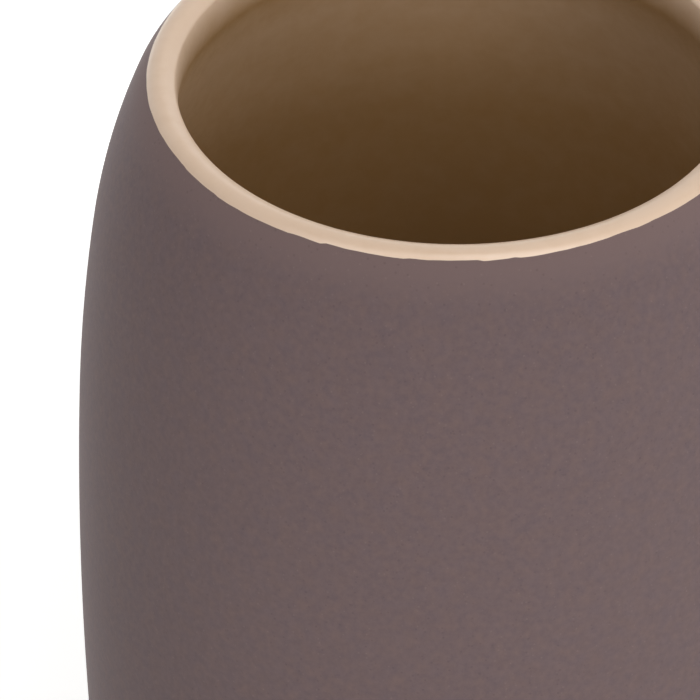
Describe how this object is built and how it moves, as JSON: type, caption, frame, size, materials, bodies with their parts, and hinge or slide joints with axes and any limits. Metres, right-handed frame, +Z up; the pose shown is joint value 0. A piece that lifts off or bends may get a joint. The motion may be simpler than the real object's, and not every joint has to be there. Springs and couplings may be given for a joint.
{
  "type": "toothbrush holder",
  "caption": "Open barrel-shaped ceramic tumbler with a round lip that stands toothbrushes in its hollow and rests on soft feet inside a foot ring.",
  "frame": {"origin": "on the table, under the middle of the base", "axes": "+Z up along the axis of the tumbler, from the feet to the mouth; -Y is the front that the picture shows"},
  "size_m": [0.085, 0.085, 0.11],
  "materials": {
    "stoneware": "unglazed fired clay, buff and slightly gritty",
    "cream_glaze": "satin cream glaze",
    "mauve_coat": "matte mauve-brown coat with fine specks",
    "pad_silicone": "cloudy soft silicone"
  },
  "bodies": {
    "root": {"stoneware_body": "stoneware", "lining_glaze": "cream_glaze", "matte_coat": "mauve_coat", "underside_glaze": "cream_glaze", "foot_pad_1": "pad_silicone", "foot_pad_2": "pad_silicone", "foot_pad_3": "pad_silicone", "foot_pad_4": "pad_silicone"}
  },
  "joints": []
}
